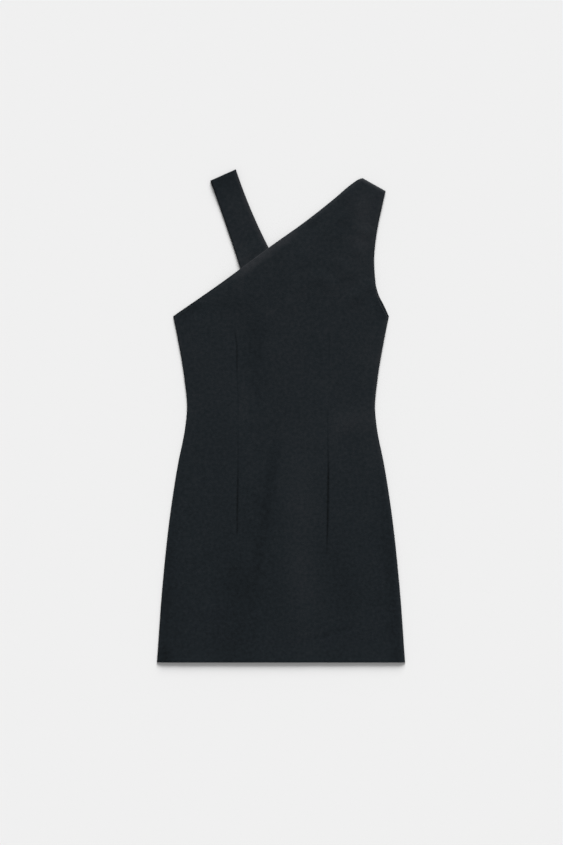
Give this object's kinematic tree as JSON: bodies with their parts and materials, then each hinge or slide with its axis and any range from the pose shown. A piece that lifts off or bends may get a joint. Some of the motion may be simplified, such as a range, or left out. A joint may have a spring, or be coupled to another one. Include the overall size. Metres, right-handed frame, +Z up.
{
  "type": "asymmetric mini dress",
  "caption": "Sleeveless mini dress laid flat: slanted neckline from underarm to shoulder, a wide strap over the other shoulder, waist darts and a straight hem.",
  "frame": {"origin": "middle of the laid-out dress, on the surface that it lies on", "axes": "+X to the right as the dress lies seen from above, +Y from the hem to the shoulder, +Z up off the surface, towards the front panel"},
  "size_m": [0.4534, 0.9001, 0.0073],
  "materials": {
    "front_crepe": "matt black crepe with a fine pebbled weave",
    "back_crepe": "matt black crepe with a fine pebbled weave",
    "strap_crepe": "matt black crepe with a fine pebbled weave, doubled"
  },
  "bodies": {
    "root": {"front_panel": "front_crepe", "back_panel": "back_crepe", "strap": "strap_crepe"}
  },
  "joints": []
}
